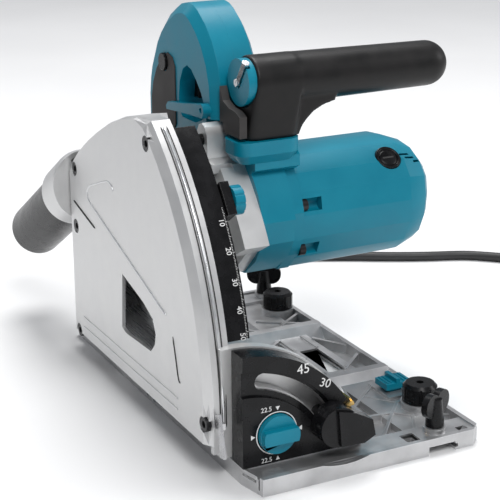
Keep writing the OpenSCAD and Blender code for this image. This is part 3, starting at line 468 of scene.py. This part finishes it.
# node, material, edge width in mm and segments
CRISP = (
    ("base_plate", "base_alu", 0.7, 2),
    ("glide_strips", "glide_plastic", 0.2, 2),
    ("front_sector", "cast_alu", 0.7, 2),
    ("rear_sector", "cast_alu", 0.7, 2),
    ("front_sector_cover", "black_plastic", 0.8, 3),
    ("rear_sector_cover", "black_plastic", 0.8, 3),
    ("sector_screws", "black_steel", 0.3, 2),
    ("stop_selector_knob", "teal_plastic", 0.5, 3),
    ("front_rail_cam", "black_plastic", 0.5, 3),
    ("rear_rail_cam", "black_plastic", 0.5, 3),
    ("front_thumb_screw", "black_plastic", 0.5, 3),
    ("rear_thumb_screw", "black_plastic", 0.5, 3),
    ("rail_catch_lever", "teal_plastic", 0.3, 2),
    ("blade_case", "cast_alu", 0.6, 2),
    ("case_screws", "black_steel", 0.3, 2),
    ("depth_scale_guide", "black_plastic", 0.4, 2),
    ("cut_line_guide", "steel", 0.15, 2),
    ("bevel_bolts", "black_steel", 0.3, 2),
    ("bevel_pointer", "brass", 0.1, 2),
    ("front_clamp_lever", "black_plastic", 0.9, 3),
    ("rear_clamp_lever", "black_plastic", 0.9, 3),
    ("depth_stop_slider", "black_plastic", 0.4, 2),
    ("depth_stop_knob", "teal_plastic", 0.5, 3),
    ("dust_nozzle", "black_plastic", 0.5, 3),
    ("gear_housing", "cast_alu", 1.0, 3),
    ("housing_screws", "black_steel", 0.3, 2),
    ("handle_left", "teal_plastic", 2.4, 4),
    ("handle_right", "teal_plastic", 2.4, 4),
    ("handle_rubber", "grey_rubber", 1.0, 3),
    ("grip_cap", "teal_plastic", 0.5, 3),
    ("cord_guard", "black_rubber", 0.5, 2),
    ("hex_key", "steel", 0.2, 2),
    ("trigger", "black_plastic", 0.6, 3),
    ("lock_off_button", "black_plastic", 0.5, 2),
    ("lock_lever", "teal_plastic", 0.5, 2),
    ("speed_dial", "black_plastic", 0.4, 2),
    ("scoring_stop", "black_plastic", 0.4, 2),
    ("saw_blade", "blade_steel", 0.1, 1),
)
for node, material, width, segments in CRISP:
    crisp(node, material, width, segments)
crisp("blade_case_cover", "cast_alu", 0.9, 3, 14, shape=sloped_cover())
crisp("motor_housing", "teal_plastic", 1.8, 4, 24)
soft("front_grip", "black_rubber", 0.9, 6)
plug = crisp("plug", "black_rubber", 0.8, 3)
for node, material in (
        ("plunge_shaft", "steel"), ("plunge_spring", "spring_steel"), ("bearings", "steel"),
        ("field_stator", "laminations"), ("brush_holders", "brass"), ("switch_module", "black_plastic"),
        ("armature_shaft", "steel"), ("armature_core", "copper"), ("fan", "black_plastic"),
        ("spindle", "steel"), ("drive_gear", "steel"), ("inner_flange", "black_steel"),
        ("outer_flange", "black_steel"), ("blade_bolt", "black_steel")):
    keep(node, material)


# ------------------------------------------------------------------ raised lines, seams, lines of painted shade and print
CASE_SIDE = 15.0        # how far the blade case's outer side stands off the cut edge, mm
QUADRANT_FRONT = 16.46  # where print on the front quadrant's cover lies in y
PRINT = 0.12            # thickness of a mark
SCALE_R = 191.03        # radius of the print on the depth scale
DEPTH_AT = {10: 33.0, 20: 28.0, 30: 22.7, 40: 18.0, 50: 13.5}  # degrees round the scale, by mm of depth
RING_IN, RING_OUT, RING_STEPS = 12.3, 12.9, 60  # the ring printed round the stop selector


def bead(name, points, radius, material):
    """A fine raised or inlaid line on the blade case, round in section, radius in mm, with narrowed ends."""
    o = tube(name, points, radius * MM, MAT[material], 10, 0.45)
    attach(o, body_of["blade_case_cover"])


def close_points(a, b, step=2.0):
    """Points from a to b, at most about step mm apart."""
    n = max(1, int((b - a).length / (step * MM)))
    return [a.lerp(b, k / n) for k in range(n + 1)]


def case_points(*outline):
    """Points in y and z as points on the case's outer side."""
    return [at(-CASE_SIDE, y, z) for y, z in outline]


bead("case_line_long", close_points(*case_points((201, 119), (84, 82))), 0.75, "band_alu")
bead("case_line_panel", smooth_way(case_points(
    (201, 119), (204.5, 121.5), (205, 126), (200, 130.5), (188, 134.8), (175, 139.3), (168, 141),
    (163, 139.8), (160.5, 136.5)), 4), 0.5, "band_alu")
# a dark line painted along the case's crease: painted shade
bead("case_line_crease", smooth_way(case_points((75, 72), (71.5, 60), (68.5, 49), (66, 46.5)), 4), 0.5,
     "dark_line_and_shade")
# a dark line painted along the slot in the case side: painted shade
bead("case_line_slot", close_points(at(-15.1, 231, 113), at(-15.1, 194, 104)), 0.6, "dark_line_and_shade")
# the two dark seams mark real joints and are also painted shade of the grooves there
for name, x, r, radius, material in (
        ("case_seam_outer", -7.0, 195.05, 0.42, "dark_line_and_shade"),
        ("case_roll", -5.2, 194.9, 1.0, "band_alu"),
        ("case_seam_inner", -3.4, 195.05, 0.36, "dark_line_and_shade")):
    bead(name, [at(x, *about_pivot(r, half / 2)) for half in range(-2, 104)], radius, material)


def text_mesh(text, size, thick):
    """The corners and faces of a line of text, centred, in mm."""
    font = bpy.data.curves.new("text", "FONT")
    font.body, font.size, font.extrude = text, size, thick / 2
    font.align_x, font.align_y = "CENTER", "CENTER"
    font.resolution_u = 3
    o = bpy.data.objects.new("text", font)
    scene.collection.objects.link(o)
    bpy.context.view_layer.update()
    mesh = bpy.data.meshes.new_from_object(o.evaluated_get(bpy.context.evaluated_depsgraph_get()))
    bpy.data.objects.remove(o)
    return [v.co.copy() for v in mesh.vertices], [list(p.vertices) for p in mesh.polygons]


def shape_mesh(outline, thick):
    """The corners and faces of a flat shape, in mm."""
    n = len(outline)
    corners = [Vector((x, y, z)) for z in (-thick / 2, thick / 2) for x, y in outline]
    sides = [[k, (k + 1) % n, n + (k + 1) % n, n + k] for k in range(n)]
    return corners, [list(range(n))[::-1], list(range(n, 2 * n)), *sides]


def printed(name, marks, body):
    """White print as one piece. Each mark is its corners and faces, its place, and the ways its rightward
    side and its face point."""
    verts, faces = [], []
    for (corners, polygons), where, rightward, facing in marks:
        rightward, facing = Vector(rightward).normalized(), Vector(facing).normalized()
        axes = Matrix((rightward, facing.cross(rightward), facing)).transposed()
        base = len(verts)
        verts += [where + axes @ (c * MM) for c in corners]
        faces += [[base + k for k in p] for p in polygons]
    mesh = bpy.data.meshes.new(name)
    mesh.from_pydata([tuple(v) for v in verts], [], faces)
    bm = bmesh.new()
    bm.from_mesh(mesh)
    bmesh.ops.remove_doubles(bm, verts=bm.verts, dist=0.0005 * MM)
    o = piece_of(bm, name)
    o.data.materials.append(MAT["white_print"])
    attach(o, body)


# the depth scale: a figure every 10 mm of depth, with fine marks between
marks = []
for depth, degrees in DEPTH_AT.items():
    a = math.radians(degrees)
    marks.append((text_mesh(str(depth), 4.6, PRINT), at(11.8, *about_pivot(SCALE_R, degrees)),
                  (0, -math.sin(a), -math.cos(a)), (0, -math.cos(a), math.sin(a))))
for k in range(90):
    degrees = 11.5 + k * 0.27
    a = math.radians(degrees)
    reach = 1.5 if k % 10 == 0 else 1.1 if k % 5 == 0 else 0.7
    bar = ((0, -0.11), (reach, -0.11), (reach, 0.11), (0, 0.11))
    marks.append((shape_mesh(bar, PRINT), at(14.0, *about_pivot(SCALE_R, degrees)), (1, 0, 0),
                  (0, -math.cos(a), math.sin(a))))
printed("depth_scale_print", marks, body_of["depth_scale_guide"])


# the angle figures on the front quadrant, and the marks round the stop selector
def on_quadrant(mark, x, z, slope=0.0):
    """A mark on the quadrant cover's front, with its line sloping by slope."""
    return mark, at(x, QUADRANT_FRONT, z), (1, 0, slope), (0, -1, 0)


marks = [on_quadrant(text_mesh(text, size, PRINT), x, z, slope) for text, size, x, z, slope in (
    ("45", 8.2, 37.8, 63.4, 0.02), ("30", 7.4, 51.9, 52.2, -0.35), ("22.5", 4.0, 14.6, 43.6, 0),
    ("22.5", 4.0, 14.8, 12.9, 0))]
marks += [on_quadrant(shape_mesh(outline, PRINT), x, z) for outline, x, z in (
    (((-1.3, 1.1), (0, -1.3), (1.3, 1.1)), 21.6, 43.4), (((-1.3, -1.1), (1.3, -1.1), (0, 1.3)), 21.8, 13.0),
    (((-1.5, -1.5), (1.2, 0), (-1.5, 1.5)), 6.4, 28.6), (((-1.2, 0), (1.5, -1.5), (1.5, 1.5)), 35.6, 28.4))]
for k in range(RING_STEPS):
    a, b = math.tau * k / RING_STEPS, math.tau * (k + 1) / RING_STEPS
    stretch = [(r * math.cos(t), r * math.sin(t)) for r, t in (
        (RING_IN, a), (RING_OUT, a), (RING_OUT, b), (RING_IN, b))]
    marks.append(on_quadrant(shape_mesh(stretch, PRINT), 21, 28.5))
printed("quadrant_print", marks, body_of["front_sector_cover"])


# ------------------------------------------------------------------ brush caps
def turned(bm, profile, place, sides=48):
    """A closed turned shape: radius and height pairs, mm, from the axis out and back to it."""
    rings = []
    for r, h in profile:
        angles = [math.tau * k / sides for k in range(sides)] if r else [0.0]
        rings.append([bm.verts.new(place @ Vector((r * math.cos(a) * MM, r * math.sin(a) * MM, h * MM)))
                      for a in angles])
    for a, b in zip(rings, rings[1:]):
        for k in range(sides):
            n = (k + 1) % sides
            corners = [a[k % len(a)], a[n % len(a)], b[n % len(b)], b[k % len(b)]]
            bm.faces.new(list(dict.fromkeys(corners)))


MOTOR_AXIS = (136.0, 116.75)             # in y and z
BRUSH_X, BRUSH_SEAT = 148, 29.4          # place along the motor, and where caps start out from its axis
BRUSHES = ((40.5, 15.2), (220.5, 12.2))  # degrees about the axis, and the top of the cap over its seat
caps, slots = bmesh.new(), bmesh.new()
for degrees, top in BRUSHES:
    place = (Matrix.Translation(at(BRUSH_X, *MOTOR_AXIS)) @ Matrix.Rotation(math.radians(degrees), 4, "X")
             @ Matrix.Translation((0, 0, BRUSH_SEAT * MM)))
    turned(caps, ((0, 9.1), (8.3, 9.1), (8.3, top - 0.7), (8.1, top - 0.2), (7.6, top), (6.9, top),
                  (6.5, top - 0.3), (6.3, top - 0.9), (5.9, top - 1.0), (5.6, top - 0.6), (5.0, top - 0.4),
                  (0, top - 0.3)), place)
    edge = [(-3.6, -0.6), (3.6, -0.6), (4.2, 0), (3.6, 0.6), (-3.6, 0.6), (-4.2, 0)]
    low, high = ([slots.verts.new(place @ Vector((x * MM, y * MM, (top - under) * MM))) for x, y in edge]
                 for under in (0.6, 0.24))
    slots.faces.new(low[::-1])
    slots.faces.new(high)
    for k in range(len(edge)):
        n = (k + 1) % len(edge)
        slots.faces.new((low[k], low[n], high[n], high[k]))
cap_piece = piece_of(caps, "brush_caps_part")
set_sharp(cap_piece.data, 40)
settle(cap_piece, "brush_caps", "black_plastic")
slot_piece = piece_of(slots, "brush_slots")
slot_piece.data.materials.append(MAT["dark_line_and_shade"])
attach(slot_piece, body_of["brush_caps"])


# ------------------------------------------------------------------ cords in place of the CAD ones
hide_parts("cord_lead")
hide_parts("cord", "cord_coil")
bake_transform(lead)
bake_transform(cord)


# ------------------------------------------------------------------ floor
bm = bmesh.new()
bmesh.ops.create_grid(bm, x_segments=24, y_segments=24, size=6)
mesh = bpy.data.meshes.new("floor")
bm.to_mesh(mesh)
bm.free()
mesh.materials.append(finish("floor", (0.80, 0.80, 0.80), (0.84, 0.84, 0.84), (0.75, 0.85), 0, 3, 60, 0.02,
                             0.1))
floor = bpy.data.objects.new("floor", mesh)
scene.collection.objects.link(floor)
floor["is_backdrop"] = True

low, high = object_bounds()
